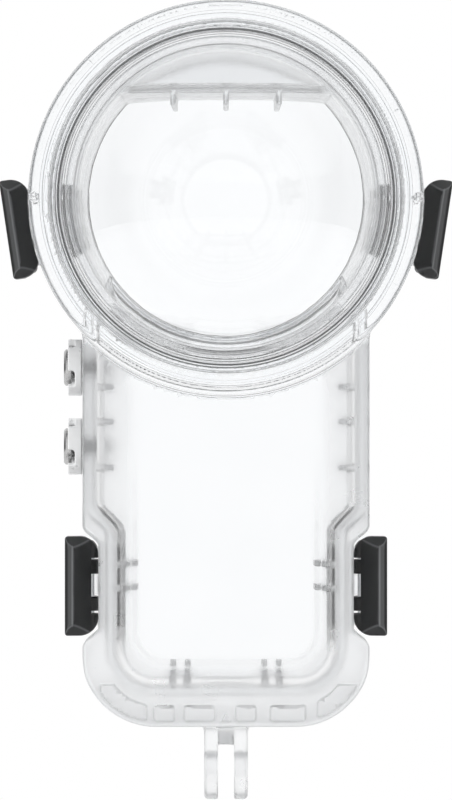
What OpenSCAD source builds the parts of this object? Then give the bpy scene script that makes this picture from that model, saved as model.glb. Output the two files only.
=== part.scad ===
// Clear two-half dive housing for a dual-lens 360 degree camera.
// Origin: centre of the mount bore. +Z is up, the front faces -Y, the buttons are on the -X side.
// The two halves meet at y = 0 and are clamped by four two-stage latches.

/* [Body] */
// Half width of the body above the latches
body_half_w = 29.7; // [29:0.1:31]
// Half width of the body between the lower latches
waist_half_w = 26.1; // [25.5:0.1:26.5]
// Height of the bottom of the body above the mount bore
body_bottom_z = 8.4; // [8.2:0.1:10]
// Radius of the lower corners of the body
body_corner_r = 15.5; // [12:0.5:17]
// Depth of each half of the body, from the parting plane
body_depth = 18.5; // [18:0.5:20]
// Height of the top of the waist
waist_top_z = 45.9; // [45:0.1:47]
// Height of the bottom of the waist
waist_bottom_z = 28.2; // [27:0.1:29]

/* [Head] */
// Height of the lens axis above the mount bore
head_z = 116.7; // [112:0.1:120]
// Outer radius of the round head
head_r = 40.4; // [40:0.1:41]
// Depth of each half of the head ring, from the parting plane
head_depth = 20.5; // [20:0.5:21]

/* [Camera bay] */
// Half width of the upper bay and of the head pocket
bay_half_w = 26.4; // [26:0.1:26.6]
// Half width of the lower bay
bay_low_half_w = 22.25; // [21:0.25:22.25]
// Height of the bottom of the bay
bay_bottom_z = 17.1; // [16:0.1:19]
// Height of the top edge of the head pocket
pocket_top_z = 138.2; // [134:0.1:140]
// Depth of the bay in each half
bay_depth = 15.5; // [15:0.1:15.8]
// Radius of the lower corners of the bay
bay_corner_r = 7.5; // [6:0.5:8]
// Half width of the thin window in each broad face
window_half_w = 19.4; // [16:0.1:21]
// Height of the bottom of the window
window_bottom_z = 20.7; // [20:0.1:22]
// Radius of the lower corners of the window
window_corner_r = 7.4; // [5:0.1:8]

/* [Domes] */
// Outer radius of each dome
dome_r = 34.4; // [34.2:0.1:34.4]
// Wall thickness of each dome
dome_wall = 3; // [2.5:0.1:3]
// Distance of each dome's centre from the parting plane
dome_centre_y = 14; // [13:0.1:15]

/* [Mount] */
// Radius of the mount bore
bore_r = 2.55; // [2.5:0.01:2.6]
// Thickness of each mount finger
finger_w = 2.85; // [2.7:0.05:3]
// Gap between the two fingers
finger_gap = 3.3; // [3.2:0.05:3.4]
// Radius of the rounded finger tips
finger_r = 7; // [6.5:0.1:7.5]

/* [Latches] */
// Length of each latch along the edge of the housing
latch_len = 20.5; // [19:0.5:20.5]
// Distance of the lower levers' outer face from the waist wall
low_lever_t = 7; // [6.5:0.1:7.5]
// Distance of the upper levers' outer face from the head ring
high_lever_t = 5.2; // [5:0.1:5.6]
// Tilt of the upper latches from the vertical
high_latch_tilt = 8.5; // [6:0.5:10]
// Height of the middle of the lower latches
low_latch_z = 37.05; // [36.8:0.05:37.3]

/* [Buttons] */
// Heights of the two buttons' axes
button_z = [81.9, 65.6]; // [60:0.1:85]
// Depth of the buttons' axes behind the parting plane
button_y = 9.25; // [9:0.05:9.5]
// Radius of a button cap
button_cap_r = 3.8; // [3.4:0.1:4]
// Outer radius of the collar round a cap
collar_r = 5.85; // [5.5:0.05:6]

/* [Hidden] */
$fn = 96;
CORNERS = ["upper_left", "upper_right", "lower_left", "lower_right"];
BUTTONS = ["upper_button", "lower_button"];
HALVES = ["rear", "front"];
LATCH_PARTS = ["_latch_lever", "_latch_link", "_latch_shell_pin", "_latch_lever_pin"];
BUTTON_PARTS = ["_plunger", "_spring", "_seal", "_clip", "_collar"];
HALF_PARTS = ["_shell", "_dome", "_dome_seal", "_bezel"];
clear_plastic = "lightcyan";
clear_glass = "azure";
dark_plastic = [0.17, 0.18, 0.18];
steel = "silver";
silicone = "gainsboro";
eps = 0.1;

// Head ring: its outer corner as steps inwards and depths, and the pocket that holds a dome
head_corner = [[0, 19.6], [-0.3, 20.2], [-0.9, 20.5]];
pocket_r = 36.2;
ledge_y = 16.2;
bay_neck_y = 13.8;
bay_head_r = 31.2;
pocket_wall = 1.6;
pocket_floor_y = 11.8;

// Where the deep part of the bay and the window end below the head, as radii about the lens axis
bay_top_drop = 12;
bay_arch_r = 38.6;
window_arch_r = 39.6;
window_extra_depth = 1.2;

// Waist: how far its slopes run along Z while they rise to the full width
waist_slope = 3.2;

// Seals: the main seal's track round the bay, and the dome seals
seal_inner = 0.9;
seal_outer = 2.3;
seal_groove = 0.1;
seal_half_t = 0.9;
dome_seal_r = 34.2;
dome_seal_wire = 0.8;

// Domes and bezels
flange_r = 36;
flange_y = [16.8, 18.8];
bezel_r = [34.45, 36.1, 38.2];
bezel_y = [18.8, 20.5, 22];

// Camera supports: heights of the upper and lower side ribs, places of the bottom and top ribs
rib_w = 1.1;
side_rib_x = [22.9, 27.3];
side_rib_z = [77.3, 70.2, 60.8];
low_rib_x = [19.6, 22.8];
low_rib_z = [41, 36.1];
bottom_rib_x = [7.9, 10.9];
top_rib_x = [-10.9, 0, 10.9];
top_rib_len = 2.5;

// Mount
stem_half_depth = 6.3;
slot_r = 7.5;
slot_top_z = 4.1;
mount_half_w = finger_gap / 2 + finger_w;
foot_z = 6.6;
foot_spread = 1.8;
cover_gap = 0.2;

// Latch section in (u, y): u is outward from the wall, y is depth. Both hinges run along the edge.
shell_pin = [1.9, 11];
lever_pin = [1.7, 1.5];
knuckle_r = 1.6;
pin_r = 0.7;
pin_play = 0.05;
link_span = [2.33, 5.3];
lug_half = 2.1;
cheek_inner = 5.7;
cheek_outer = 9.3;
claw_y = [-7.4, -5.1];
claw_u = 0.1;
lip_u = 2.2;
lip_y = [-5, -2.7];
lip_span = [5.9, 8];
lever_under = 2.5;
nose_y = -12.5;
ridge_w = 1.08;
ridge_chamfer = 0.62;
bar_y = [-7.45, -8.6];
high_inner_u = -0.6;
head_gap = 0.25;
outer_corner_r = 0.7;
inner_corner_r = 3.9;

// Buttons along -X: the places of the faces, as distances from the middle of the housing
stem_r = 1.25;
cap_x = [31.9, 33.5];
stem_tip_x = 23.4;
spring_pocket_x = 28.5;
spring_pocket_r = 2.9;
spring_r = 2.1;
spring_wire = 0.28;
spring_turns = 3.5;
seal_pocket_x = 27.3;
seal_pocket_r = 2.1;
seal_wire = 0.42;
clip_x = [25.65, 26.3];
clip_r = 2.9;
clip_gap = 1.6;
collar_x = [29.7, 32.7];
collar_bore_r = 4.3;
collar_notch_w = 3.5;
collar_notch_x = 31.2;
collar_notch_turn = 65;

// Extrudes an outline drawn in (x, z) from depth y0 to depth y1.
module slab(y0, y1) {
    translate([0, y1, 0]) rotate([90, 0, 0]) linear_extrude(y1 - y0) children();
}

// Turns a profile drawn in (radius, y) about the lens axis.
module turned() {
    translate([0, 0, head_z]) rotate([-90, 0, 0]) rotate_extrude() children();
}

module box2(x0, x1, z0, z1) {
    translate([x0, z0]) square([x1 - x0, z1 - z0]);
}

// Upright outline with round lower corners, open to any height above.
module footed(half_w, bottom, top, r) {
    box2(-half_w, half_w, bottom + r, top);
    box2(r - half_w, half_w - r, bottom, bottom + 2 * r);
    for (s = [-1, 1]) translate([s * (half_w - r), bottom + r]) circle(r);
}

// Front outline of the body, with the waist that makes room for the lower latches.
module body_outline() {
    rise = body_half_w - waist_half_w;
    difference() {
        footed(body_half_w, body_bottom_z, head_z - 10, body_corner_r);
        for (s = [0, 1]) mirror([s, 0]) polygon([
            [waist_half_w, waist_bottom_z],
            [waist_half_w, waist_top_z],
            [waist_half_w + 2 * rise, waist_top_z + 2 * waist_slope],
            [waist_half_w + 2 * rise, waist_bottom_z - 2 * waist_slope]]);
    }
}

// Outline of the camera bay, grown outwards by g.
module bay_outline(g = 0) {
    wide = bay_half_w + g;
    slim = bay_low_half_w + g;
    taper_z = [48.4 - 0.5 * g, 53.6 - 0.5 * g];
    footed(slim, bay_bottom_z - g, taper_z[0] + eps, bay_corner_r + g);
    polygon([[-slim, taper_z[0]], [slim, taper_z[0]], [wide, taper_z[1]], [-wide, taper_z[1]]]);
    box2(-wide, wide, taper_z[1] - eps, head_z - bay_top_drop);
}

// Segment of the round head between two heights. It overlaps the ring a little.
module head_segment(z0, z1) {
    intersection() {
        translate([0, head_z]) circle(bay_head_r + eps);
        box2(-head_r, head_r, z0, z1);
    }
}

// Flat top of the head pocket: a floor, a wall below it and three ribs.
module pocket_top() {
    slab(pocket_floor_y, bay_neck_y) head_segment(pocket_top_z, head_z + head_r);
    slab(0, bay_neck_y) head_segment(pocket_top_z, pocket_top_z + pocket_wall);
    for (x = top_rib_x) slab(0, bay_neck_y)
        box2(x - rib_w / 2, x + rib_w / 2, pocket_top_z - top_rib_len, pocket_top_z + eps);
}

// Window of the broad face, which ends in an arch below the head.
module window_outline() {
    difference() {
        footed(window_half_w, window_bottom_z, head_z, window_corner_r);
        translate([0, head_z]) circle(window_arch_r);
    }
}

// Solid section of the head ring, with its stepped outer corner.
module head_blank() {
    turned() polygon(concat(
        [[bay_head_r, 0]],
        [[head_r, 0]],
        [for (p = head_corner) [head_r + p[0], p[1]]],
        [[bay_head_r, head_depth]]));
}

// Small ribs that hold the camera clear of the sides and the bottom of the bay.
module camera_ribs() {
    for (s = [0, 1]) mirror([s, 0, 0]) slab(0, bay_depth) {
        for (z = side_rib_z) box2(side_rib_x[0], side_rib_x[1], z, z + rib_w);
        for (z = low_rib_z) box2(low_rib_x[0], low_rib_x[1], z, z + rib_w);
        for (x = bottom_rib_x) box2(x - rib_w / 2, x + rib_w / 2, bay_bottom_z - 1, bay_bottom_z + 3);
    }
}

// One half of the housing on the +Y side, without what differs between the halves.
module half_shell() {
    difference() {
        union() {
            slab(0, body_depth) difference() {
                body_outline();
                translate([0, head_z]) circle(bay_head_r);
            }
            head_blank();
            pocket_top();
        }
        difference() {
            union() {
                slab(-1, bay_neck_y) bay_outline();
                slab(0, bay_depth) difference() {
                    bay_outline();
                    translate([0, head_z]) circle(bay_arch_r);
                }
            }
            camera_ribs();
        }
        slab(0, bay_depth + window_extra_depth) window_outline();
        turned() box2(0, pocket_r, ledge_y, head_depth + 5);
        turned() box2(dome_seal_r - 0.9, dome_seal_r + 0.9, ledge_y - 1, ledge_y + 1);
    }
}

// Places a latch section, drawn in (u, y) and extruded along the edge, at one of the corners.
module at_corner(corner) {
    left = corner == "upper_left" || corner == "lower_left";
    high = corner == "upper_left" || corner == "upper_right";
    mirror([left ? 1 : 0, 0, 0])
        translate([0, 0, high ? head_z : low_latch_z])
            rotate([0, high ? high_latch_tilt : 0, 0])
                translate([high ? head_r : waist_half_w, 0, 0]) children();
}

// Extrudes a latch section over one stretch along the edge, on both sides of the middle.
module both_sides(v0, v1) {
    for (v = [-v1, v0]) translate([0, 0, v]) linear_extrude(v1 - v0) children();
}

module along(half) {
    translate([0, 0, -half]) linear_extrude(2 * half) children();
}

// Front outline of a lever, from u0 to t: small outer corners and large inner ones.
module lever_plan(u0, t) {
    half = latch_len / 2 - pin_play;
    box2(u0 + inner_corner_r, t - outer_corner_r, -half, half);
    box2(u0, u0 + inner_corner_r, inner_corner_r - half, half - inner_corner_r);
    box2(t - outer_corner_r, t, outer_corner_r - half, half - outer_corner_r);
    for (s = [-1, 1]) {
        translate([u0 + inner_corner_r, s * (half - inner_corner_r)]) circle(inner_corner_r);
        translate([t - outer_corner_r, s * (half - outer_corner_r)]) circle(outer_corner_r);
    }
}

// A lever whose outer face is at t. A high one also has a bar that reaches in to the head ring.
module latch_lever(t, high) {
    inner = high ? [[-0.9, bar_y[0]], [-0.9, bar_y[1]]] : [[lever_under, -7.6], [1.5, -9]];
    intersection() {
        difference() {
            union() {
                along(latch_len / 2) polygon(concat(inner, [
                    [t - ridge_chamfer - ridge_w, nose_y], [t - ridge_chamfer, nose_y],
                    [t, nose_y + ridge_chamfer], [t, -4], [3.9, -0.6], [lever_under, -0.6]],
                    high ? [[lever_under, bar_y[0]]] : []));
                both_sides(cheek_inner, cheek_outer) {
                    polygon([[lever_under, -2.4], [t, -4], [3, 2.4], [1.7, 2.4], [0.6, 0.4]]);
                    translate(lever_pin) circle(knuckle_r);
                }
                both_sides(cheek_inner, latch_len / 2)
                    polygon([[claw_u, claw_y[0]], [claw_u, claw_y[1]],
                        [lever_under + eps, claw_y[1]], [lever_under + eps, -8.4], [1, claw_y[0] - 0.9]]);
            }
            along(latch_len) translate(lever_pin) circle(pin_r + pin_play);
            if (high) rotate([90, 0, 0]) translate([-head_r, 0, -20])
                cylinder(r = head_r + head_gap, h = 40);
        }
        slab(-20, 20) lever_plan(high ? high_inner_u : pin_play, t);
    }
}

module latch_link() {
    difference() {
        union() {
            both_sides(link_span[0], link_span[1]) {
                translate(lever_pin) circle(knuckle_r);
                translate(shell_pin) circle(knuckle_r);
                polygon([[0.4, 1.8], [3.1, 1.8], [3.3, 11], [0.4, 11]]);
            }
            along(link_span[1]) polygon([[1.6, 4], [3.15, 4], [3.25, 8.6], [1.6, 8.6]]);
        }
        along(latch_len) translate(lever_pin) circle(pin_r);
        along(latch_len) translate(shell_pin) circle(pin_r + pin_play);
    }
}

module latch_shell_pin() {
    along(link_span[1] - 0.1) translate(shell_pin) circle(pin_r);
}

module latch_lever_pin() {
    along(cheek_outer - 0.5) translate(lever_pin) circle(pin_r);
}

// Hinge lug on the rear half, between the arms of the link.
module latch_lug() {
    difference() {
        along(lug_half) {
            translate(shell_pin) circle(knuckle_r);
            translate([-2, shell_pin[1] - knuckle_r]) square([2 + shell_pin[0], 2 * knuckle_r]);
        }
        along(latch_len) translate(shell_pin) circle(pin_r);
    }
}

// Two lips on the front half that the claws of a lever hold.
module latch_lips() {
    both_sides(lip_span[0], lip_span[1])
        translate([-2, lip_y[0]]) square([2 + lip_u, lip_y[1] - lip_y[0]]);
}

// Two-finger mount, moulded to the rear half.
module mount() {
    difference() {
        union() {
            rotate([90, 0, 90]) translate([0, 0, -mount_half_w]) linear_extrude(2 * mount_half_w) {
                circle(finger_r);
                box2(-stem_half_depth, stem_half_depth, 0, body_bottom_z - cover_gap);
            }
            slab(0, stem_half_depth) polygon([
                [-mount_half_w, foot_z - 2], [mount_half_w, foot_z - 2],
                [mount_half_w + foot_spread, body_bottom_z + 1],
                [-mount_half_w - foot_spread, body_bottom_z + 1]]);
        }
        rotate([90, 0, 90]) translate([0, 0, -finger_gap / 2]) linear_extrude(finger_gap) {
            circle(slot_r);
            box2(-stem_half_depth - 1, stem_half_depth + 1, -finger_r - 1, slot_top_z);
        }
        rotate([0, 90, 0]) cylinder(r = bore_r, h = 4 * mount_half_w, center = true);
    }
}

// Things that lie along a button's axis: distances are measured outwards from the middle.
module at_button(i) {
    translate([0, button_y, button_z[i]]) rotate([0, -90, 0]) children();
}

module disc(r, x0, x1) {
    translate([0, 0, x0]) cylinder(r = r, h = x1 - x0);
}

module button_holes() {
    for (i = [0, 1]) at_button(i) {
        disc(stem_r + pin_play, 20, 40);
        disc(spring_pocket_r, spring_pocket_x, 40);
        disc(seal_pocket_r, 20, seal_pocket_x);
    }
}

module rear_shell() {
    color(clear_plastic, 0.4) {
        difference() {
            union() {
                half_shell();
                for (c = CORNERS) at_corner(c) latch_lug();
            }
            slab(-1, seal_half_t) seal_track(seal_groove);
            button_holes();
        }
        mount();
    }
}

module front_shell() {
    color(clear_plastic, 0.4) {
        difference() {
            mirror([0, 1, 0]) half_shell();
            slab(-seal_half_t, 1) seal_track(seal_groove);
        }
        for (c = CORNERS) at_corner(c) latch_lips();
    }
}

// Track of the main seal: the outline of the bay and head, between two distances from the bay.
module seal_track(g = 0) {
    difference() {
        seal_edge(seal_outer + g);
        seal_edge(seal_inner - g);
    }
}

module seal_edge(g) {
    bay_outline(g);
    translate([0, head_z]) circle(bay_head_r + g);
}

module main_seal() {
    color(silicone) slab(-seal_half_t, seal_half_t) seal_track();
}

module dome() {
    color(clear_glass, 0.3) turned() {
        difference() {
            intersection() {
                translate([0, dome_centre_y]) circle(dome_r);
                box2(0, dome_r + 1, flange_y[0], dome_centre_y + dome_r + 1);
            }
            translate([0, dome_centre_y]) circle(dome_r - dome_wall);
        }
        box2(dome_r - 1.5, flange_r, flange_y[0], flange_y[1]);
    }
}

module dome_seal() {
    color(silicone) turned()
        translate([dome_seal_r, flange_y[0] - dome_seal_wire]) circle(dome_seal_wire);
}

module bezel() {
    color(clear_plastic, 0.5) turned() {
        box2(bezel_r[0], bezel_r[1], bezel_y[0], bezel_y[2]);
        box2(bezel_r[0], bezel_r[2], bezel_y[1], bezel_y[2]);
    }
}

module button_plunger() {
    color(steel) {
        disc(stem_r, stem_tip_x, cap_x[0] + eps);
        disc(button_cap_r, cap_x[0], cap_x[1]);
    }
}

// Sweeps a round wire along a list of points, each with the wire's own pair of axes.
function ring_at(c, out, up, r, sides) =
    [for (k = [0 : sides - 1]) c + r * (cos(k * 360 / sides) * out + sin(k * 360 / sides) * up)];

module button_spring() {
    sides = 8;
    steps = round(spring_turns * 18);
    low = spring_pocket_x + spring_wire;
    high = cap_x[0] - spring_wire;
    rings = [for (i = [0 : steps])
        let (a = i * 20, h = low + (high - low) * i / steps, o = [cos(a), sin(a), 0])
        ring_at([spring_r * o[0], spring_r * o[1], h], o, [0, 0, 1], spring_wire, sides)];
    points = [for (r = rings, p = r) p];
    skin = [for (i = [0 : steps - 1], k = [0 : sides - 1]) let (n = (k + 1) % sides)
        [i * sides + k, i * sides + n, (i + 1) * sides + n, (i + 1) * sides + k]];
    ends = [[for (k = [sides - 1 : -1 : 0]) k], [for (k = [0 : sides - 1]) steps * sides + k]];
    color(steel) polyhedron(points, concat(skin, ends));
}

module button_seal() {
    color("dimgray") translate([0, 0, seal_pocket_x - seal_wire])
        rotate_extrude() translate([stem_r + seal_wire, 0]) circle(seal_wire);
}

module button_clip() {
    color(steel) difference() {
        disc(clip_r, clip_x[0], clip_x[1]);
        disc(stem_r, clip_x[0] - 1, clip_x[1] + 1);
        translate([0, -clip_gap / 2, clip_x[0] - 1]) cube([clip_r + 1, clip_gap, 3]);
    }
}

module button_collar() {
    color("whitesmoke") difference() {
        disc(collar_r, collar_x[0], collar_x[1]);
        disc(collar_bore_r, collar_x[0] - 1, collar_x[1] + 1);
        for (k = [0 : 3]) rotate([0, 0, collar_notch_turn + 90 * k])
            translate([0, -collar_notch_w / 2, collar_notch_x]) cube([collar_r + 1, collar_notch_w, 3]);
    }
}

module half_part(h, p) {
    mirror([0, h == "front" ? 1 : 0, 0]) {
        if (p == "_dome") dome();
        if (p == "_dome_seal") dome_seal();
        if (p == "_bezel") bezel();
    }
}

module latch_part(c, p) {
    high = c == "upper_left" || c == "upper_right";
    at_corner(c) {
        if (p == "_latch_lever") color(dark_plastic) latch_lever(high ? high_lever_t : low_lever_t, high);
        if (p == "_latch_link") color(dark_plastic) latch_link();
        if (p == "_latch_shell_pin") color(steel) latch_shell_pin();
        if (p == "_latch_lever_pin") color(steel) latch_lever_pin();
    }
}

module button_part(i, p) {
    at_button(i) {
        if (p == "_plunger") button_plunger();
        if (p == "_spring") button_spring();
        if (p == "_seal") button_seal();
        if (p == "_clip") button_clip();
        if (p == "_collar") button_collar();
    }
}

rear_shell();
front_shell();
main_seal();
for (h = HALVES, p = HALF_PARTS) half_part(h, p);
for (c = CORNERS, p = LATCH_PARTS) latch_part(c, p);
for (i = [0, 1], p = BUTTON_PARTS) button_part(i, p);
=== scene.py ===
"""Looks of the clear two-half dive housing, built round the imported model.

Shapes are worked out in millimetres here, and every mesh is in metres.
"""
import math

import bpy
import numpy as np
import openvdb
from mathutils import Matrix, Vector


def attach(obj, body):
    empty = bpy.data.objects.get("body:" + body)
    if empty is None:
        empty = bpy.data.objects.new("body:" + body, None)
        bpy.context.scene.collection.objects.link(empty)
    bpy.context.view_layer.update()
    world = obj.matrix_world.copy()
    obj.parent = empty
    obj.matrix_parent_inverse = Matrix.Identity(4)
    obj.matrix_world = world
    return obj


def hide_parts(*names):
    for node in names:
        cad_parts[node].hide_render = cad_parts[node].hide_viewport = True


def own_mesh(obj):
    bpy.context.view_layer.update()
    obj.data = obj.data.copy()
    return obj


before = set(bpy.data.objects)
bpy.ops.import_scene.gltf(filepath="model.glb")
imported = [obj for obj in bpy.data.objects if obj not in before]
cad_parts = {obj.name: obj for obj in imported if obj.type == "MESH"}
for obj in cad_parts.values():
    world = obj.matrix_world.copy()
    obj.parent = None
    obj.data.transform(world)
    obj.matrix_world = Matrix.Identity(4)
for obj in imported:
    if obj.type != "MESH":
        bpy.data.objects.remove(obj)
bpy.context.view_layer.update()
MM = 0.001
CORNERS = ["upper_left", "upper_right", "lower_left", "lower_right"]

# Sizes of the CAD model, in millimetres: the two halves
HEAD_Z, HEAD_R, HEAD_DEPTH = 116.7, 40.4, 20.5
BODY_W, WAIST_W, BODY_BOTTOM, BODY_DEPTH, BODY_CORNER = 29.7, 26.1, 8.4, 18.5, 15.5
WAIST_TOP, WAIST_LOW, WAIST_RUN = 45.4, 28.7, 4.2
BAY_W, BAY_LOW_W, BAY_BOTTOM, BAY_DEPTH, BAY_CORNER = 26.4, 22.25, 17.1, 15.5, 7.5
BAY_STEP, BAY_STEP_RUN = 47.9, 6.2
BAY_TOP_R, EDGE_R, RING_EDGE_R = 38.6, 0.9, 1.1
NECK_Y, FLOOR_Y, NECK_R, POCKET_TOP, POCKET_WALL = 13.8, 11.8, 31.2, 138.2, 1.6
WINDOW_W, WINDOW_BOTTOM, WINDOW_CORNER, WINDOW_DISH = 19.4, 20.7, 7.4, 0.25
SIDE_RIBS = ((25.1, 2.2, (77.3, 70.2, 60.8)), (21.2, 1.6, (41.0, 36.1)))
BOTTOM_RIBS, BOTTOM_RIB_TALL = (7.9, 10.9), 3
TOP_RIBS, TOP_RIB_TALL, RIB_THICK = (-10.9, 0.0, 10.9), 2.5, 1.1
BODY_UNDER_HEAD, BAY_UNDER_HEAD = 10, 12
LEDGE_R, LEDGE_Y, SEAL_SLOT = 36.2, 16.2, (33.3, 35.1)
RIM_POCKETS = [(-25.7, -16.1), (-14.8, -10.5), (-8.6, -2.3), (2.0, 6.1), (9.0, 16.3), (18.7, 27.3)]
RIM_BAND, RIM_TOP, RIM_DEEP = (-4.3, -1.1), 17, 0.55
MARK, MARK_DEEP = [(-0.95, 9.5), (0.95, 9.5), (0.0, 11.3)], 0.5
DIMPLE_X, DIMPLE_R = 39.3, 0.85
GROOVE, GROOVE_DEEP = (0.86, 2.34), 0.93
MOUNT_R, MOUNT_BORE_R, MOUNT_HALF, MOUNT_NECK = 7.0, 2.55, 4.5, 6.3
SLOT_R, SLOT_HALF, SLOT_TOP = 7.5, 1.65, 4.1
MOUNT_TOP, MOUNT_ROOT = 8.2, 14

# Domes, latches and buttons
DOME_R, DOME_WALL, DOME_Y, FLANGE_R, FLANGE_Y = 34.4, 3.0, 14.0, 36.0, (16.8, 18.8)
LOW_Z, TILT, LATCH_HALF = 37.05, math.radians(8.5), 10.25
LEVER_T = {"upper": 5.2, "lower": 7.0}
SHELL_PIN, LEVER_PIN, KNUCKLE_R, PIN_R = (1.9, 11.0), (1.7, 1.5), 1.6, 0.7
LUG_HALF, PIN_HOLE_HALF = 2.1, 4
LIP_OUT, LIP_Y, LIP_V = 2.2, (2.7, 5.0), (5.9, 8.0)
KNUCKLE_V, HINGE_HALF, ROD_HALF = (5.72, 9.3), 5.15, 8.75
BUTTON_Y, BUTTON_Z = 9.25, {"upper_button": 81.9, "lower_button": 65.6}
STEM_HOLE_R, SPRING_R, SPRING_SEAT, O_RING_R, O_RING_END, BAY_SIDE = 1.35, 2.9, 28.5, 2.1, 27.3, 20
GAP, FAR, FLOOR_Z = 0.04, 300, -110.0
NOTCH_TURN = math.radians(65)

# How finely the halves and the small parts are meshed, and how the studio is graded
STEP, ADAPT = 0.4, 0.0003
FINE, CLIP_FINE, FINE_ADAPT = 0.15, 0.09, 0.002
THROUGH_SKY = ((0.0, 0.40), (0.08, 0.50), (0.22, 0.82), (0.45, 0.96), (0.75, 1.0))
MIRROR_SKY = ((0.0, 0.08), (0.12, 0.12), (0.3, 0.3), (0.6, 0.8), (0.85, 1.0))


# ---------------------------------------------------------------- distance fields
# The last number that meet, join and cut are given is the radius of the edge or fillet.
def box_2d(a, b, a0, a1, b0, b1, r=0.0):
    """Distance to a box in two coordinates, with corners of radius r."""
    p = np.abs(a - (a0 + a1) / 2) - (a1 - a0) / 2 + r
    q = np.abs(b - (b0 + b1) / 2) - (b1 - b0) / 2 + r
    return np.minimum(np.maximum(p, q), 0) + np.hypot(np.maximum(p, 0), np.maximum(q, 0)) - r


def meet(a, b, r):
    """What two fields share, with an edge of radius r."""
    return np.minimum(np.maximum(a, b), -r) + np.hypot(np.maximum(a + r, 0), np.maximum(b + r, 0))


def join(a, b, r):
    """Both fields, with a fillet of radius r."""
    return -meet(-a, -b, r)


def cut(a, b, r):
    """The first field without the second, with an edge of radius r."""
    return meet(a, -b, r)


def between(a, lo, hi):
    """Distance to a span of one coordinate."""
    return np.abs(a - (lo + hi) / 2) - (hi - lo) / 2


def polygon(a, b, points):
    """Distance to a simple polygon in two coordinates."""
    best, sign = None, None
    for (a0, b0), (a1, b1) in zip(points, points[1:] + points[:1]):
        ea, eb = a1 - a0, b1 - b0
        wa, wb = a - a0, b - b0
        t = np.clip((wa * ea + wb * eb) / (ea * ea + eb * eb), 0, 1)
        d = (wa - ea * t) ** 2 + (wb - eb * t) ** 2
        low, high, left = b >= b0, b < b1, ea * wb > eb * wa
        flip = np.where((low & high & left) | (~low & ~high & ~left), -1.0, 1.0)
        best = d if best is None else np.minimum(best, d)
        sign = flip if sign is None else sign * flip
    return sign * np.sqrt(best)


def smooth(t):
    """An even rise from 0 to 1."""
    t = np.clip(t, 0, 1)
    return t * t * (3 - 2 * t)


# ---------------------------------------------------------------- meshes
def surface(field, lo, hi, step, adaptivity=0.0):
    """Points, faces and normals of a field's zero surface."""
    x, y, z = (np.arange(a, b + step, step, dtype=np.float32) for a, b in zip(lo, hi))
    values = field(x[:, None, None], y[None, :, None], z[None, None, :])
    values = np.ascontiguousarray(np.broadcast_to(values, (len(x), len(y), len(z))), dtype=np.float32)
    grid = openvdb.FloatGrid(4.0)
    grid.copyFromArray(np.clip(values, -4, 4))
    points, threes, fours = grid.convertToPolygons(isovalue=0.0, adaptivity=adaptivity)
    rough = points.astype(float) * step + np.array([x[0], y[0], z[0]], float)
    points = rough.copy()
    for _ in range(3):
        d, n = gradient(field, points)
        points = points - n * np.clip(d, -0.35 * step, 0.35 * step)[:, None]
    for _ in range(4):  # points that turned a face over go back to where they were
        for faces in (threes, fours):
            if len(faces):
                before, after = face_normals(rough, faces), face_normals(points, faces)
                turned = faces[np.einsum("ij,ij->i", before, after) < 0.3]
                points[turned] = rough[turned]
    return points, threes.tolist() + fours.tolist(), gradient(field, points)[1]


def face_normals(points, faces):
    """Unit normals of triangles or of quads."""
    a, b, c, d = (points[faces[:, k]] for k in (0, 1, 2, -1))
    n = np.cross(c - a, d - b)
    length = np.linalg.norm(n, axis=1)
    return n / np.maximum(length, 1e-9)[:, None]


def gradient(field, p):
    """Value and unit gradient of a field at some points."""
    h = 0.03
    x, y, z = p.T
    g = np.stack([field(x + h, y, z) - field(x - h, y, z),
                  field(x, y + h, z) - field(x, y - h, z),
                  field(x, y, z + h) - field(x, y, z - h)], axis=1)
    length = np.linalg.norm(g, axis=1)
    length[length < 1e-6] = 1e-6
    return field(x, y, z), g / length[:, None]


def add_mesh(name, points, faces, normals=None):
    """A mesh object from points in millimetres, with its faces turned outwards."""
    points = np.asarray(points, float)
    mesh = bpy.data.meshes.new(name)
    mesh.from_pydata((points * MM).tolist(), [], [list(f) for f in faces])
    mesh.validate()
    mesh.update()
    co = np.empty(len(mesh.vertices) * 3)
    mesh.vertices.foreach_get("co", co)
    mesh.calc_loop_triangles()
    tri = np.empty(len(mesh.loop_triangles) * 3, dtype=np.int32)
    mesh.loop_triangles.foreach_get("vertices", tri)
    a, b, c = co.reshape(-1, 3)[tri.reshape(-1, 3)].transpose(1, 0, 2)
    if np.einsum("ij,ij->i", a, np.cross(b, c)).sum() < 0:
        mesh.flip_normals()
    mesh.shade_smooth()
    if normals is not None and len(mesh.vertices) == len(normals):
        flat = np.empty(len(mesh.vertices) * 3)
        mesh.vertices.foreach_get("normal", flat)
        flat = flat.reshape(-1, 3)
        agree = np.einsum("ij,ij->i", flat, normals)
        chosen = np.where((agree > 0.5)[:, None], normals, flat)
        mesh.normals_split_custom_set_from_vertices(chosen.tolist())
    obj = bpy.data.objects.new(name, mesh)
    bpy.context.scene.collection.objects.link(obj)
    return obj


def rounded(points, r, closed=True, steps=3):
    """A profile with its corners rounded. A point may give its own radius as a third number."""
    out, n = [], len(points)
    for i, p in enumerate(points):
        here = np.array(p[:2], float)
        if not closed and i in (0, n - 1):
            out.append(tuple(here))
            continue
        a, b = np.array(points[i - 1][:2], float), np.array(points[(i + 1) % n][:2], float)
        la, lb = np.linalg.norm(a - here), np.linalg.norm(b - here)
        ua, ub = (a - here) / la, (b - here) / lb
        size = p[2] if len(p) > 2 else r
        half = math.acos(max(-1, min(1, float(ua @ ub)))) / 2
        back = min(size / max(math.tan(half), 1e-6), 0.45 * la, 0.45 * lb)
        if half > 1.5 or back < 1e-4:
            out.append(tuple(here))
            continue
        s, e = here + ua * back, here + ub * back
        for k in range(steps + 1):
            t = k / steps
            out.append(tuple((1 - t) ** 2 * s + 2 * t * (1 - t) * here + t * t * e))
    return out


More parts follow.
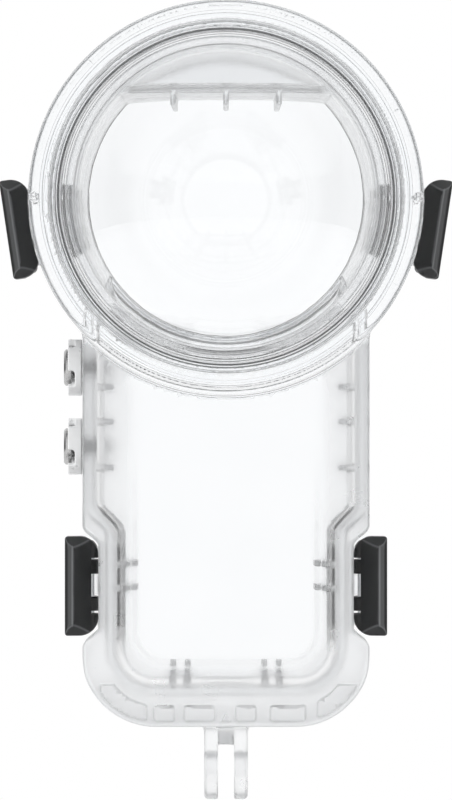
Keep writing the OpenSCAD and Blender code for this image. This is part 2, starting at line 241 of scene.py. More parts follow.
def lathe(profile, segments=128, closed=True):
    """Turns a profile of (radius, height) about Z. An open one starts and ends on the axis."""
    turn = np.arange(segments) * 2 * math.pi / segments
    rings = profile if closed else profile[1:-1]
    points = [(r * math.cos(a), r * math.sin(a), h) for r, h in rings for a in turn]
    n = len(rings)
    pairs = [(i, (i + 1) % n) for i in range(n if closed else n - 1)]
    corners = [(k, (k + 1) % segments) for k in range(segments)]
    faces = [(i * segments + k, i * segments + m, j * segments + m, j * segments + k)
             for i, j in pairs for k, m in corners]
    if not closed:
        for pole, ring in ((profile[0], 0), (profile[-1], n - 1)):
            points.append((0, 0, pole[1]))
            top = len(points) - 1
            for k, m in corners:
                f = (top, ring * segments + k, ring * segments + m)
                faces.append(f if ring else f[::-1])
    return np.array(points, float), faces


def even_normals(obj):
    """Flat faces keep flat shading beside their rounded edges."""
    m = obj.modifiers.new("even", "WEIGHTED_NORMAL")
    m.weight = 90
    m.keep_sharp = False
    return obj


def turned_y(points, side):
    """From a lathe's frame to the lens axis: height becomes depth on one side of the housing."""
    p = points[:, [0, 2, 1]].copy()
    p[:, 1] *= side
    p[:, 2] += HEAD_Z
    return p


def on_button(points, which):
    """From a lathe's frame to a button's axis, where height is the distance outwards."""
    x, y, z = points.T
    return np.stack([-z, y + BUTTON_Y, x + BUTTON_Z[which]], axis=1)


def at_corner(points, corner):
    """From a latch's frame (outwards, depth, along) to its corner of the housing."""
    u, y, v = np.asarray(points, float).T
    high = corner.startswith("upper")
    tilt, z0 = (TILT, HEAD_Z) if high else (0.0, LOW_Z)
    x = u + (HEAD_R if high else WAIST_W)
    wx, wz = x * math.cos(tilt) + v * math.sin(tilt), v * math.cos(tilt) - x * math.sin(tilt)
    if corner.endswith("left"):
        wx = -wx
    return np.stack([wx, y, wz + z0], axis=1)


def latch_frame(x, y, z, high):
    """Outwards and along coordinates of a latch, alike on the left and on the right."""
    ax = np.abs(x)
    if high:
        z = z - HEAD_Z
        return ax * math.cos(TILT) - z * math.sin(TILT) - HEAD_R, ax * math.sin(TILT) + z * math.cos(TILT)
    return ax - WAIST_W, z - LOW_Z


# ---------------------------------------------------------------- materials
def material(name, build):
    """A material whose nodes are set up by a function."""
    m = bpy.data.materials.new(name)
    m.use_nodes = True
    tree = m.node_tree
    shader = tree.nodes["Principled BSDF"]
    build(tree, shader)
    return m


def node(tree, kind, **inputs):
    """A shader node, with its inputs or settings given by name."""
    n = tree.nodes.new(kind)
    for key, value in inputs.items():
        if key in n.inputs:
            n.inputs[key].default_value = value
        else:
            setattr(n, key, value)
    return n


def noise(tree, scale, detail=3.0, stretch=None):
    """A noise in the object's own metres."""
    where = tree.nodes.new("ShaderNodeTexCoord")
    vector = where.outputs["Object"]
    if stretch:
        m = tree.nodes.new("ShaderNodeMapping")
        m.inputs["Scale"].default_value = stretch
        tree.links.new(vector, m.inputs["Vector"])
        vector = m.outputs["Vector"]
    n = node(tree, "ShaderNodeTexNoise", Scale=scale, Detail=detail)
    tree.links.new(vector, n.inputs["Vector"])
    return n.outputs["Fac"]


def spread(tree, value, lo, hi, socket, start=0.3, end=0.7):
    """Feeds a texture to a socket, between two values."""
    m = tree.nodes.new("ShaderNodeMapRange")
    for key, v in (("From Min", start), ("From Max", end), ("To Min", lo), ("To Max", hi)):
        m.inputs[key].default_value = v
    tree.links.new(value, m.inputs["Value"])
    tree.links.new(m.outputs["Result"], socket)


def tint(tree, value, dark, light, socket, start=0.3, end=0.7):
    """Feeds a texture to a socket, between two colours."""
    r = tree.nodes.new("ShaderNodeValToRGB")
    r.color_ramp.elements[0].position, r.color_ramp.elements[1].position = start, end
    r.color_ramp.elements[0].color = (*dark, 1)
    r.color_ramp.elements[1].color = (*light, 1)
    tree.links.new(value, r.inputs["Fac"])
    tree.links.new(r.outputs["Color"], socket)


def bump(tree, shader, value, strength, distance):
    """Lets a texture stand out from the surface a little."""
    b = tree.nodes.new("ShaderNodeBump")
    b.inputs["Strength"].default_value = strength
    b.inputs["Distance"].default_value = distance
    tree.links.new(value, b.inputs["Height"])
    tree.links.new(b.outputs["Normal"], shader.inputs["Normal"])


def clear(colour, dim, rough, wave, satin=None):
    """Moulded clear plastic: slight waves, and a haze that differs a little over the part."""
    def build(tree, s):
        s.inputs["Transmission Weight"].default_value = 1.0
        s.inputs["IOR"].default_value = 1.5
        tint(tree, noise(tree, 60, 2), dim, colour, s.inputs["Base Color"])
        haze = noise(tree, 140, 4)
        if satin:
            amount = node(tree, "ShaderNodeAttribute", attribute_name="satin")
            total = node(tree, "ShaderNodeMath", operation="MULTIPLY_ADD")
            spread(tree, haze, rough[0], rough[1], total.inputs[2])
            total.inputs[1].default_value = satin
            tree.links.new(amount.outputs["Fac"], total.inputs[0])
            tree.links.new(total.outputs[0], s.inputs["Roughness"])
        else:
            spread(tree, haze, rough[0], rough[1], s.inputs["Roughness"])
        bump(tree, s, noise(tree, 190, 2), wave, 0.0002)
    return build


def black_plastic(tree, s):
    grain_and_highlight = node(tree, "ShaderNodeMix", data_type="RGBA")
    tint(tree, noise(tree, 3000, 3), (0.006, 0.0065, 0.007), (0.009, 0.0095, 0.010), grain_and_highlight.inputs["A"])
    # B is a lighter grey: a painted highlight, mixed in by the 'edge' attribute along the levers' ridges,
    # ridge edges, seams and end facets.
    grain_and_highlight.inputs["B"].default_value = (0.16, 0.165, 0.17, 1)
    edge = node(tree, "ShaderNodeAttribute", attribute_name="edge")
    tree.links.new(edge.outputs["Fac"], grain_and_highlight.inputs["Factor"])
    tree.links.new(grain_and_highlight.outputs["Result"], s.inputs["Base Color"])
    spread(tree, noise(tree, 1800, 3), 0.34, 0.38, s.inputs["Roughness"])
    s.inputs["Specular IOR Level"].default_value = 0.6
    bump(tree, s, noise(tree, 5200, 2), 0.04, 0.00002)


def turned_steel(tree, s):
    s.inputs["Metallic"].default_value = 1.0
    rings = noise(tree, 900, 3, (9.0, 1.0, 1.0))
    tint(tree, rings, (0.50, 0.50, 0.50), (0.68, 0.68, 0.67), s.inputs["Base Color"])
    spread(tree, noise(tree, 1500, 4), 0.2, 0.34, s.inputs["Roughness"])
    bump(tree, s, rings, 0.12, 0.00003)


def polished(tree, s):
    s.inputs["Metallic"].default_value = 1.0
    tint(tree, noise(tree, 700, 3), (0.60, 0.61, 0.62), (0.68, 0.69, 0.70), s.inputs["Base Color"])
    spread(tree, noise(tree, 1500, 4), 0.16, 0.24, s.inputs["Roughness"])


def button_steel(tree, s):
    s.inputs["Metallic"].default_value = 1.0
    tint(tree, noise(tree, 700, 3), (0.46, 0.46, 0.46), (0.54, 0.54, 0.54), s.inputs["Base Color"])
    spread(tree, noise(tree, 1500, 4), 0.22, 0.30, s.inputs["Roughness"])
    bump(tree, s, noise(tree, 1800, 2, (6.0, 1.0, 1.0)), 0.05, 0.00002)


def satin_plastic(tree, s):
    tint(tree, noise(tree, 220, 3), (0.94, 0.945, 0.95), (0.97, 0.975, 0.98), s.inputs["Base Color"])
    s.inputs["Transmission Weight"].default_value = 0.15
    s.inputs["IOR"].default_value = 1.5
    spread(tree, noise(tree, 500, 4), 0.26, 0.36, s.inputs["Roughness"])
    bump(tree, s, noise(tree, 2600, 2), 0.12, 0.00003)


def silicone(tree, s):
    s.inputs["Transmission Weight"].default_value = 0.3
    s.inputs["IOR"].default_value = 1.41
    tint(tree, noise(tree, 300, 4), (0.36, 0.365, 0.37), (0.46, 0.465, 0.47), s.inputs["Base Color"])
    spread(tree, noise(tree, 700, 4), 0.42, 0.6, s.inputs["Roughness"])
    bump(tree, s, noise(tree, 2500, 3), 0.15, 0.00003)


def clear_silicone(tree, s):
    s.inputs["Transmission Weight"].default_value = 1.0
    s.inputs["IOR"].default_value = 1.43
    tint(tree, noise(tree, 300, 4), (0.95, 0.96, 0.965), (0.985, 0.99, 0.995), s.inputs["Base Color"])
    spread(tree, noise(tree, 700, 4), 0.08, 0.16, s.inputs["Roughness"])
    bump(tree, s, noise(tree, 2500, 3), 0.15, 0.00003)


def dark_rubber(tree, s):
    tint(tree, noise(tree, 500, 4), (0.030, 0.031, 0.032), (0.05, 0.052, 0.053), s.inputs["Base Color"])
    spread(tree, noise(tree, 900, 4), 0.5, 0.7, s.inputs["Roughness"])
    bump(tree, s, noise(tree, 3000, 3), 0.2, 0.00003)


SHELL = material("clear_shell_plastic",
                 clear((0.985, 0.989, 0.993), (0.975, 0.98, 0.985), (0.01, 0.04), 0.05, 0.26))
DOME = material("clear_dome_plastic", clear((0.99, 0.995, 1.0), (0.98, 0.985, 0.99), (0.0, 0.012), 0.03))
RING = material("clear_ring_plastic", clear((0.995, 0.998, 1.0), (0.985, 0.99, 0.994), (0.01, 0.04), 0.12))
COLLAR = material("satin_collar_plastic", satin_plastic)
PIN = material("polished_pin", polished)
CAP = material("button_steel", button_steel)
BLACK = material("black_latch_plastic", black_plastic)
STEEL = material("turned_steel", turned_steel)
SEAL = material("silicone_seal", silicone)
CLEAR_SEAL = material("clear_silicone_seal", clear_silicone)
RUBBER = material("button_rubber", dark_rubber)


def finish_piece(obj, mat, body, nodes, slot):
    """Gives a piece its material and its body, and hides the CAD nodes that it stands for; its slot is not
    used.
    """
    obj.data.materials.append(mat)
    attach(obj, body)
    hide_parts(*nodes)
    return obj


# ---------------------------------------------------------------- the two shells
def body_outline(ax, z):
    """Front outline of the body, with its waist."""
    up = smooth((z - WAIST_TOP) / WAIST_RUN)
    down = smooth((WAIST_LOW - z) / WAIST_RUN)
    rise = np.maximum(up, down)
    wide = WAIST_W + (BODY_W - WAIST_W) * rise
    lean = np.sqrt(1 + (1.2 * np.sin(np.pi * np.sqrt(rise * (1 - rise)))) ** 2)
    wall = (ax - wide) / lean
    plate = box_2d(ax, z, -BODY_W, BODY_W, BODY_BOTTOM, FAR, BODY_CORNER)
    return meet(wall, plate, 1.2)


def bay_outline(ax, z, g=0.0):
    """Outline of the camera bay, grown by g."""
    rise = smooth((z - (BAY_STEP - 0.5 * g)) / BAY_STEP_RUN)
    wide = BAY_LOW_W + g + (BAY_W - BAY_LOW_W) * rise
    lean = np.sqrt(1 + (0.95 * np.sqrt(4 * rise * (1 - rise))) ** 2)
    foot = box_2d(ax, z, -BAY_W - g, BAY_W + g, BAY_BOTTOM - g, FAR)
    low = box_2d(ax, z, -BAY_LOW_W - g, BAY_LOW_W + g, BAY_BOTTOM - g, FAR, BAY_CORNER + g)
    wall = (ax - wide) / lean
    return np.where(z < BAY_BOTTOM + BAY_CORNER + 2, np.maximum(low, foot), np.maximum(wall, foot))


def window_outline(ax, z):
    """Outline of the flat window in the bay's floor."""
    return box_2d(ax, z, -WINDOW_W, WINDOW_W, WINDOW_BOTTOM, FAR, WINDOW_CORNER)


def camera_ribs(ax, x, z):
    """Small ribs that hold the camera clear of the walls."""
    ribs = None
    for centre, half, heights in SIDE_RIBS:
        for h in heights:
            d = box_2d(ax, z, centre - half, centre + half, h, h + RIB_THICK)
            ribs = d if ribs is None else np.minimum(ribs, d)
    side = RIB_THICK / 2
    for c in BOTTOM_RIBS:
        d = box_2d(ax, z, c - side, c + side, BAY_BOTTOM - 1, BAY_BOTTOM + BOTTOM_RIB_TALL)
        ribs = np.minimum(ribs, d)
    for c in TOP_RIBS:
        d = box_2d(x, z, c - side, c + side, POCKET_TOP - TOP_RIB_TALL, POCKET_TOP + 1)
        ribs = np.minimum(ribs, d)
    return ribs


def half_shell(x, y, z):
    """What the two halves share, for depths y of 0 and more. It is open to any negative depth."""
    ax = np.abs(x)
    r = np.hypot(x, z - HEAD_Z)
    outline = body_outline(ax, z)
    body = meet(outline, np.maximum(y - BODY_DEPTH, z - HEAD_Z + BODY_UNDER_HEAD), EDGE_R)
    ring = meet(r - HEAD_R, y - HEAD_DEPTH, RING_EDGE_R)
    shell = cut(join(body, ring, 0.9), r - NECK_R, 0.4)
    plate = np.maximum(r - NECK_R - 0.3, between(y, FLOOR_Y, NECK_Y))
    pocket = np.maximum(r - NECK_R + 0.05, z - POCKET_TOP)
    wall = np.maximum(np.maximum(r - NECK_R, between(z, HEAD_Z, POCKET_TOP + POCKET_WALL)), y - NECK_Y)
    shell = join(join(shell, plate, 0.4), wall, 0.4)
    bay = bay_outline(ax, z)
    low = np.maximum(bay, z - HEAD_Z + BAY_UNDER_HEAD)
    room = meet(low, y - NECK_Y, 0.5)
    deep = meet(meet(low, BAY_TOP_R - r, 0.8), y - BAY_DEPTH, 2.6)
    room = join(np.minimum(room, meet(pocket, y - HEAD_DEPTH - 3, 0.9)), deep, 0.3)
    room = cut(room, camera_ribs(ax, x, z), 0.3)
    shell = cut(shell, room, 0.5)
    dish = smooth(-window_outline(ax, z) / 1.8) * smooth((r - BAY_TOP_R - 1) / 6)
    dish = dish * (1 - smooth((z - 46) / 26))
    floor = np.maximum(np.maximum(bay, BAY_TOP_R + 3 - r), y - BAY_DEPTH - WINDOW_DISH * dish)
    shell = np.maximum(shell, -np.maximum(floor, BAY_DEPTH - 1 - y + np.maximum(bay + 2.5, 0)))
    shell = cut(shell, np.maximum(r - NECK_R, NECK_Y - y), 0.3)
    shell = cut(shell, np.maximum(r - LEDGE_R, LEDGE_Y - y), 0.35)
    shell = cut(shell, box_2d(r, y, *SEAL_SLOT, LEDGE_Y - 1, LEDGE_Y + 2), 0.3)
    for lo, hi in RIM_POCKETS:
        hollow = meet(between(outline, *RIM_BAND), between(x, lo, hi), 0.7)
        shell = cut(shell, np.maximum(np.maximum(hollow, BODY_DEPTH - RIM_DEEP - y), z - RIM_TOP), 0.4)
    shell = cut(shell, np.maximum(polygon(x, z, MARK), BODY_DEPTH - MARK_DEEP - y), 0.15)
    dimple = np.hypot(ax - DIMPLE_X, z - HEAD_Z) - DIMPLE_R
    return cut(shell, np.maximum(dimple, HEAD_DEPTH - 1 - y), 0.15)


def seal_groove(x, y, z):
    """Groove of the main seal in a half's parting face."""
    bay = np.maximum(bay_outline(np.abs(x), z), z - HEAD_Z)
    edge = np.minimum(bay, np.hypot(x, z - HEAD_Z) - NECK_R)
    return box_2d(edge, y, *GROOVE, -1, GROOVE_DEEP, 0.25)


def mount(x, y, z, top):
    """Two-finger mount, up to a height."""
    ax = np.abs(x)
    r = np.hypot(y, z)
    block = np.minimum(r - MOUNT_R, box_2d(y, z, -MOUNT_NECK, MOUNT_NECK, 0, 40))
    block = meet(np.maximum(block, z - top), ax - MOUNT_HALF, 0.9)
    slot = np.minimum(r - SLOT_R, z - SLOT_TOP)
    block = cut(block, np.maximum(slot, ax - SLOT_HALF), 0.4)
    return cut(block, r - MOUNT_BORE_R, 0.35)


def rear_field(x, y, z):
    """The main half, with its latch lugs, its button bores and the mount."""
    shell = half_shell(x, y, z)
    for high in (True, False):
        u, v = latch_frame(x, y, z, high)
        lug = np.minimum(np.hypot(u - SHELL_PIN[0], y - SHELL_PIN[1]) - KNUCKLE_R,
                         box_2d(u, y, -2, SHELL_PIN[0], SHELL_PIN[1] - KNUCKLE_R, SHELL_PIN[1] + KNUCKLE_R))
        shell = join(shell, meet(lug, np.abs(v) - LUG_HALF, 0.3), 0.5)
        pin = np.hypot(u - SHELL_PIN[0], y - SHELL_PIN[1]) - PIN_R - GAP
        pin = np.maximum(pin, np.abs(v) - PIN_HOLE_HALF)
        shell = np.maximum(shell, -pin)
    for height in BUTTON_Z.values():
        r = np.hypot(y - BUTTON_Y, z - height)
        shell = np.maximum(shell, -np.maximum(r - STEM_HOLE_R, x + BAY_SIDE))
        shell = cut(shell, np.maximum(r - SPRING_R, x + SPRING_SEAT), 0.3)
        shell = cut(shell, np.maximum(r - O_RING_R, np.maximum(-O_RING_END - x, x + BAY_SIDE)), 0.2)
    shell = join(shell, np.maximum(mount(x, y, z, MOUNT_ROOT), 0.5 - y), 1.7)
    shell = meet(shell, GAP - y, 0.15)
    shell = cut(shell, seal_groove(x, y, z), 0.3)
    return np.minimum(shell, mount(x, y, z, MOUNT_TOP))


def front_field(x, y, z):
    """The cover half, in a frame where its depth is positive."""
    shell = half_shell(x, y, z)
    for high in (True, False):
        u, v = latch_frame(x, y, z, high)
        lip = box_2d(u, y, -2, LIP_OUT, *LIP_Y, 0.3)
        shell = join(shell, meet(lip, between(np.abs(v), *LIP_V), 0.3), 0.4)
    shell = meet(shell, GAP - y, 0.15)
    return cut(shell, seal_groove(x, y, z), 0.3)


def satin_amount(p):
    """How satin a half is: its walls are, and its windows and the ring round a dome are polished."""
    x, y, z = p.T
    r = np.hypot(x, z - HEAD_Z)
    walls = smooth((r - 38.8) / 2.4) * smooth((window_outline(np.abs(x), z) + 0.6) / 1.6)
    rim = (z < RIM_TOP) & (body_outline(np.abs(x), z) > RIM_BAND[0]) & (y > BODY_DEPTH - 2)
    walls = np.where(rim, 1.5, walls)
    ribs = camera_ribs(np.abs(x), x, z)
    walls = np.where((ribs < 0.12) & (z < 45) & (y < BAY_DEPTH - 0.2), 2.2, walls)
    return np.where(r < NECK_R + 0.2, 0.75, walls)


def build_shells():
    """Meshes both halves, on grids whose planes miss the flat faces."""
    for name, field, low, side, body, old in (
            ("rear_half", rear_field, (-44.33, -7.75, -7.55), 1, "main_half", "rear_shell"),
            ("cover_half", front_field, (-44.33, -0.95, 7.65), -1, "cover", "front_shell")):
        p, f, n = surface(field, low, (44.4, 21.2, 158.0), STEP, ADAPT)
        flip = np.array([1, side, 1])
        obj = add_mesh(name, p * flip, f, n * flip)
        satin = obj.data.attributes.new("satin", "FLOAT", "POINT")
        satin.data.foreach_set("value", satin_amount(p).astype(np.float32))
        finish_piece(obj, SHELL, body, [old], "clear_shell")


# ---------------------------------------------------------------- domes, bezels and seals
def dome_profile():
    """Closed profile of a dome with its flange, as radius and depth."""
    inner, outer = DOME_R - DOME_WALL, DOME_R
    lift = FLANGE_Y[0] - DOME_Y
    a0 = math.asin(lift / inner)
    a1 = math.asin((FLANGE_Y[1] - DOME_Y) / outer)
    n = 56
    ins = [(inner * math.cos(a), DOME_Y + inner * math.sin(a)) for a in np.linspace(math.pi / 2, a0, n)]
    outs = [(outer * math.cos(a), DOME_Y + outer * math.sin(a)) for a in np.linspace(a1, math.pi / 2, n)]
    flange = [ins[-1], (FLANGE_R, FLANGE_Y[0]), (FLANGE_R, FLANGE_Y[1]), outs[0]]
    return ins[:-1] + rounded([ins[-2]] + flange + [outs[1]], 0.25, closed=False)[1:-1] + outs[1:]


def build_dome(half, side, body):
    """A port of one half: the dome, its ring and the seal under its flange."""
    points, faces = lathe(dome_profile(), 192, closed=False)
    obj = add_mesh(half + "_port", turned_y(points, side), faces)
    finish_piece(obj, DOME, body, [half + "_dome"], "clear_dome")
    profile = rounded([(34.5, 18.84), (36.05, 18.84), (36.05, 20.56), (38.15, 20.56), (38.15, 21.7),
                       (37.5, 21.7), (37.5, 21.98), (36.3, 21.98), (36.3, 21.8), (35.6, 21.8),
                       (35.6, 21.98), (34.5, 21.98, 0.3)], 0.1)
    points, faces = lathe(profile, 192)
    obj = add_mesh(half + "_port_ring", turned_y(points, side), faces)
    finish_piece(even_normals(obj), RING, body, [half + "_bezel"], "clear_ring")
    wire = [(34.2 + 0.78 * math.cos(a), 16.0 + 0.76 * math.sin(a)) for a in np.arange(16) * math.pi / 8]
    points, faces = lathe(wire, 160)
    obj = add_mesh(half + "_port_seal", turned_y(points, side), faces)
    finish_piece(obj, SEAL, body, [half + "_dome_seal"], "silicone_seal")


def seal_path():
    """Middle line of the main seal in (x, z), all the way round."""
    g = 1.6
    mid_r, wide, slim = NECK_R + g, BAY_W + g, BAY_LOW_W + g
    meet_z = HEAD_Z - math.sqrt(mid_r ** 2 - wide ** 2)
    arc = np.linspace(math.pi / 2, math.atan2(meet_z - HEAD_Z, wide), 90)
    half = [(mid_r * math.cos(a), HEAD_Z + mid_r * math.sin(a)) for a in arc]
    for z in np.linspace(meet_z, BAY_BOTTOM + BAY_CORNER, 90)[1:-1]:
        rise = float(smooth((z - (BAY_STEP - 0.5 * g)) / BAY_STEP_RUN))
        half.append((slim + (wide - slim) * rise, z))
    r = BAY_CORNER + g
    cx, cz = BAY_LOW_W - BAY_CORNER, BAY_BOTTOM + BAY_CORNER
    half += [(cx + r * math.cos(a), cz + r * math.sin(a)) for a in np.linspace(0, -math.pi / 2, 24)]
    half += [(x, BAY_BOTTOM - g) for x in np.linspace(cx, 0, 14)[1:]]
    return np.array(half + [(-x, z) for x, z in half[-2:0:-1]])


def build_main_seal():
    """The clear gasket loop in the grooves between the two halves."""
    path = seal_path()
    for _ in range(2):
        path = (path + np.roll(path, 1, 0) + np.roll(path, -1, 0)) / 3
    tangent = np.roll(path, -1, 0) - np.roll(path, 1, 0)
    tangent /= np.linalg.norm(tangent, axis=1)[:, None]
    side = np.stack([-tangent[:, 1], tangent[:, 0]], axis=1)
    section = rounded([(-0.7, -0.89), (0.7, -0.89), (0.7, 0.89), (-0.7, 0.89)], 0.25, steps=4)
    points = [(p[0] + s[0] * a, b, p[1] + s[1] * a) for p, s in zip(path, side) for a, b in section]
    n, m = len(path), len(section)
    faces = [(i * m + k, i * m + (k + 1) % m, (i + 1) % n * m + (k + 1) % m, (i + 1) % n * m + k)
             for i in range(n) for k in range(m)]
    obj = add_mesh("parting_seal", points, faces)
    finish_piece(even_normals(obj), CLEAR_SEAL, "main_half", ["main_seal"], "silicone_seal")


# ---------------------------------------------------------------- latches
def lever_section(t):
    """Section of a lever's grip, with its hollow inner slope and its ridge."""
    high = t < 6
    nose = [(-0.9, -7.45), (-0.9, -8.6)] if high else [(2.5, -7.6), (1.5, -9.0)]
    start, ridge = np.array(nose[-1]), np.array([t - 1.7, -12.5])
    bend = start + (ridge - start) * np.array([0.63, 0.72])
    slope = [tuple((1 - k) ** 2 * start + 2 * k * (1 - k) * bend + k * k * ridge)
             for k in np.linspace(0, 1, 8)]
    return nose[:-1] + slope + [(t - 0.62, -12.5), (t - 0.05, -11.9), (t, -11.7), (t, -4.0),
                                (3.9, -0.6), (2.5, -0.6)] + ([(2.5, -7.45)] if high else [])


def end_facet(u, y, av, t):
    """Distance past the facet that slopes off a lever's end."""
    return -0.42 * (u - t + 1.9) - 0.727 * (y + 12.35) + 0.542 * (av - 8.05)


def lever_field(t):
    """A latch's lever, t thick: the grip, the knuckles and the claws that hold the cover's lips."""
    high = t < 6
    section = lever_section(t)
    cheek = [(2.5, -2.4), (t, -4.0), (3.0, 2.4), (1.7, 2.4), (0.6, 0.4)]
    claw = [(0.1, -7.4), (0.1, -5.1), (2.9, -5.1), (2.9, -8.4), (1.0, -8.3)]

    def field(u, y, v):
        av = np.abs(v)
        bar = polygon(u, y, section)
        bar = meet(bar, end_facet(u, y, av, t), 0.12)
        knuckle = np.minimum(np.hypot(u - LEVER_PIN[0], y - LEVER_PIN[1]) - KNUCKLE_R, polygon(u, y, cheek))
        knuckle = meet(knuckle, between(av, *KNUCKLE_V), 0.25)
        hold = meet(polygon(u, y, claw), between(av, KNUCKLE_V[0], 11), 0.25)
        lever = join(join(bar, knuckle, 0.25), hold, 0.2)
        plan = box_2d(u, av, t - 20, t, -20, LATCH_HALF - 0.05, 0.7)
        corner = box_2d(u, av, 0.05 if not high else -0.6, 30, -30, LATCH_HALF - 0.05, 3.9)
        lever = meet(lever, np.maximum(plan, corner), 0.22)
        if high:
            lever = meet(lever, HEAD_R + 0.25 - np.hypot(u + HEAD_R, v), 0.15)
        hole = np.hypot(u - LEVER_PIN[0], y - LEVER_PIN[1]) - PIN_R - 0.05
        return np.maximum(lever, -hole)
    return field


def lever_painted_highlight(p, t):
    """Painted highlight on a lever: strongest along the ridge's edges, weaker on the ridge strip, the seams
    and the end facets.
    """
    u, y, v = p.T
    av = np.abs(v)
    facet = end_facet(u, y, av, t)
    inside = smooth((0.25 - facet) / 0.2)
    # Painted highlight lines along the ridge's edges, a lighter painted strip on the ridge, and lighter
    # painted seams and end facets.
    edge = (1 - smooth(np.hypot(u - t + 1.66, y + 12.45) / 0.3)) * inside
    across = smooth((u - t + 1.75) / 0.15) * smooth((t - 0.5 - u) / 0.15)
    ridge = 0.22 * across * smooth((-12.3 - y) / 0.1) * inside
    bar = polygon(u, y, lever_section(t))
    seam = 0.7 * (1 - smooth(np.hypot(facet, bar) / 0.22)) * (y < -9)
    face = 0.1 * (np.abs(facet) < 0.08) * (bar < -0.1)
    return np.maximum(np.maximum(edge, ridge), np.maximum(seam, face))


def link_field(u, y, v):
    """A latch's link, from the lever's rod to the pin in the main half."""
    av = np.abs(v)
    ends = [np.hypot(u - a, y - b) for a, b in (LEVER_PIN, SHELL_PIN)]
    arm = np.minimum(*ends) - KNUCKLE_R
    arm = np.minimum(arm, polygon(u, y, [(0.4, 1.8), (3.1, 1.8), (3.3, 11.0), (0.4, 11.0)]))
    arm = meet(arm, between(av, 2.33, 5.3), 0.3)
    web = np.maximum(polygon(u, y, [(1.6, 4.0), (3.15, 4.0), (3.25, 8.6), (1.6, 8.6)]), av - 4)
    link = join(arm, web, 0.35)
    for end in ends:
        link = np.maximum(link, PIN_R + 0.05 - end)
    return link


def pin_mesh(at, half):
    """A pin along the edge, with chamfered ends and a small dimple in each."""
    end = [(0, 0.12), (0.25, 0.12), (0.38, 0), (PIN_R - 0.16, 0), (PIN_R - 0.02, 0.16)]
    profile = [(r, h - half) for r, h in end] + [(r, half - h) for r, h in end[::-1]]
    profile = rounded(profile, 0.05, closed=False)
    points, faces = lathe(profile, 32, closed=False)
    return np.stack([points[:, 0] + at[0], points[:, 1] + at[1], points[:, 2]], axis=1), faces


def turned_normals(normals, corner):
    """Turns directions from a latch's frame to its corner of the housing."""
    zero = at_corner(np.zeros((1, 3)), corner)
    return at_corner(normals, corner) - zero


def build_latches():
    """The four latches: lever, link and two pins each."""
    shapes = {row: surface(lever_field(t), (-1.4, -13.0, -10.8), (t + 0.7, 3.9, 10.8), FINE, FINE_ADAPT)
              for row, t in LEVER_T.items()}
    link = surface(link_field, (-0.4, -0.7, -5.9), (4.0, 13.2, 5.9), FINE, FINE_ADAPT)
    for corner in CORNERS:
        row = corner.split("_")[0]
        for name, body, nodes, shape in (
                (corner + "_lever_grip", corner + "_lever", [corner + "_latch_lever"], shapes[row]),
                (corner + "_link_arm", corner + "_link", [corner + "_latch_link"], link)):
            p, f, n = shape
            obj = add_mesh(name, at_corner(p, corner), f, turned_normals(n, corner))
            # The 'edge' attribute is a painted highlight that lightens the black latch plastic.
            edge = obj.data.attributes.new("edge", "FLOAT", "POINT")
            edge.data.foreach_set("value", lever_painted_highlight(p, LEVER_T[row]).astype(np.float32))
            finish_piece(obj, BLACK, body, nodes, "black_latch")
        for name, at, half, body, old in (
                ("_hinge_pin", SHELL_PIN, HINGE_HALF, "main_half", "_latch_shell_pin"),
                ("_lever_rod", LEVER_PIN, ROD_HALF, corner + "_link", "_latch_lever_pin")):
            p, f = pin_mesh(at, half)
            obj = add_mesh(corner + name, at_corner(p, corner), f)
            finish_piece(even_normals(obj), PIN, body, [corner + old], "steel")


# ---------------------------------------------------------------- buttons
def collar_field(x, y, z):
    """Castellated collar, turned about Z."""
    r = np.hypot(x, y)
    ring = box_2d(r, z, 4.35, 5.82, 29.76, 32.65, 0.3)
    c, s = math.cos(NOTCH_TURN), math.sin(NOTCH_TURN)
    notch = np.minimum(np.abs(c * x + s * y), np.abs(s * x - c * y)) - 1.75
    return cut(ring, meet(notch, 31.2 - z, 0.7), 0.3)


def clip_field(x, y, z):
    """Retaining clip on a stem, open on one side."""
    r = np.hypot(x, y)
    ring = box_2d(r, z, 1.29, 2.88, 25.67, 26.28, 0.12)
    return cut(ring, np.maximum(np.abs(y) - 0.8, -x), 0.15)


def spring_mesh():
    """A return spring: a helix that flattens out at its ends, and closes there."""
    turns, wire, radius, sides = 3.5, 0.28, 2.1, 12
    lo, hi = SPRING_SEAT + wire + GAP, 31.9 - wire - GAP
    steps = int(turns * 40)
    points, faces = [], []
    for i in range(steps + 1):
        a = i * math.pi / 20
        t = i / steps
        h = lo + (hi - lo) * (0.75 * t + 0.25 * float(smooth(t)))
        c, s = math.cos(a), math.sin(a)
        thin = wire if 1 < i < steps - 1 else (wire * 0.8 if i in (1, steps - 1) else wire * 0.45)
        for k in range(sides):
            b = 2 * math.pi * k / sides
            q = radius + thin * math.cos(b)
            points.append((q * c, q * s, h + thin * math.sin(b)))
    for i in range(steps):
        for k in range(sides):
            n = (k + 1) % sides
            faces.append((i * sides + k, i * sides + n, (i + 1) * sides + n, (i + 1) * sides + k))
    faces.append(tuple(range(sides))[::-1])
    faces.append(tuple(steps * sides + k for k in range(sides)))
    return np.array(points), faces


